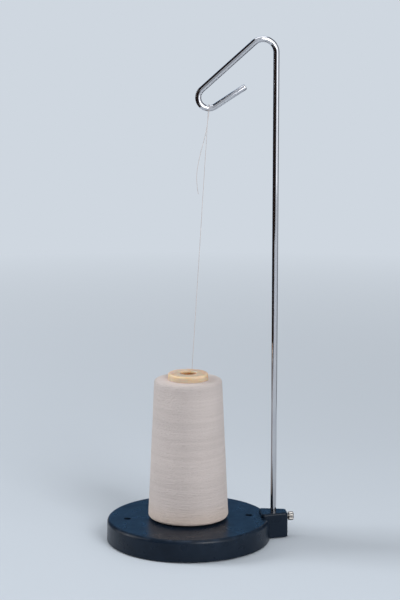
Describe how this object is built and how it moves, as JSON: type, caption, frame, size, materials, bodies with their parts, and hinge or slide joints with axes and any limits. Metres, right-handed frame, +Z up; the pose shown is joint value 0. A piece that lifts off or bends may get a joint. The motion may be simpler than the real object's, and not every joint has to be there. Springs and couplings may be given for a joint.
{
  "type": "cone and spool stand",
  "caption": "Free-standing weighted stand that holds one cone of sewing thread on a pin and leads the thread up through the open loop of a bent wire rod.",
  "frame": {"origin": "centre of the round base on the table plane", "axes": "+Z up along the spool pin, +X from the pin to the rod's lug, +Y to the back"},
  "size_m": [0.129, 0.112, 0.3436],
  "materials": {
    "base_plastic": "semi-gloss moulded blue-grey",
    "cover_plastic": "fine-grained moulded dark grey",
    "foot_rubber": "matt cellular rubber",
    "ballast_steel": "mill-rolled steel",
    "zinc_screws": "zinc plated",
    "pin_steel": "bright turned steel",
    "zinc_hardware": "zinc plated",
    "insert_brass": "turned brass",
    "rod_chrome": "bright chrome plated wire",
    "screw_nickel": "bright nickel plated",
    "holder_plastic": "moulded dark grey",
    "tube_plastic": "matt beige moulding",
    "sewing_thread": "spun polyester thread, off-white"
  },
  "bodies": {
    "stand": {"base_shell": "base_plastic", "ballast_plate": "ballast_steel", "bottom_cover": "cover_plastic", "cover_screws": "zinc_screws", "foot_pad": "foot_rubber", "spool_pin": "pin_steel", "pin_washer": "zinc_hardware", "pin_nut": "zinc_hardware", "thread_insert": "insert_brass", "thread_strand": "sewing_thread"},
    "guide_rod": {"guide_rod": "rod_chrome"},
    "clamp_screw": {"clamp_screw": "screw_nickel"},
    "cone_holder": {"cone_holder": "holder_plastic"},
    "thread_cone": {"cone_tube": "tube_plastic", "thread_winding": "sewing_thread"}
  },
  "joints": [
    {"name": "rod_swivel", "type": "hinge", "parent": "stand", "child": "guide_rod", "pos_m": [0.059, 0, 0.018], "axis": [0, 0, 1], "range_deg": [-90, 90], "deforming": ["thread_strand"]},
    {"name": "clamp_screw_turn", "type": "hinge", "parent": "stand", "child": "clamp_screw", "pos_m": [0.0694, 0, 0.0142], "axis": [1, 0, 0], "range_deg": [0, 720]},
    {"name": "cone_lift", "type": "slide", "parent": "stand", "child": "cone_holder", "axis": [0, 0, 1], "range_m": [0, 0.08], "deforming": ["thread_strand"]},
    {"name": "cone_spin", "type": "hinge", "parent": "cone_holder", "child": "thread_cone", "pos_m": [0, 0, 0.0155], "axis": [0, 0, 1], "continuous": true}
  ]
}
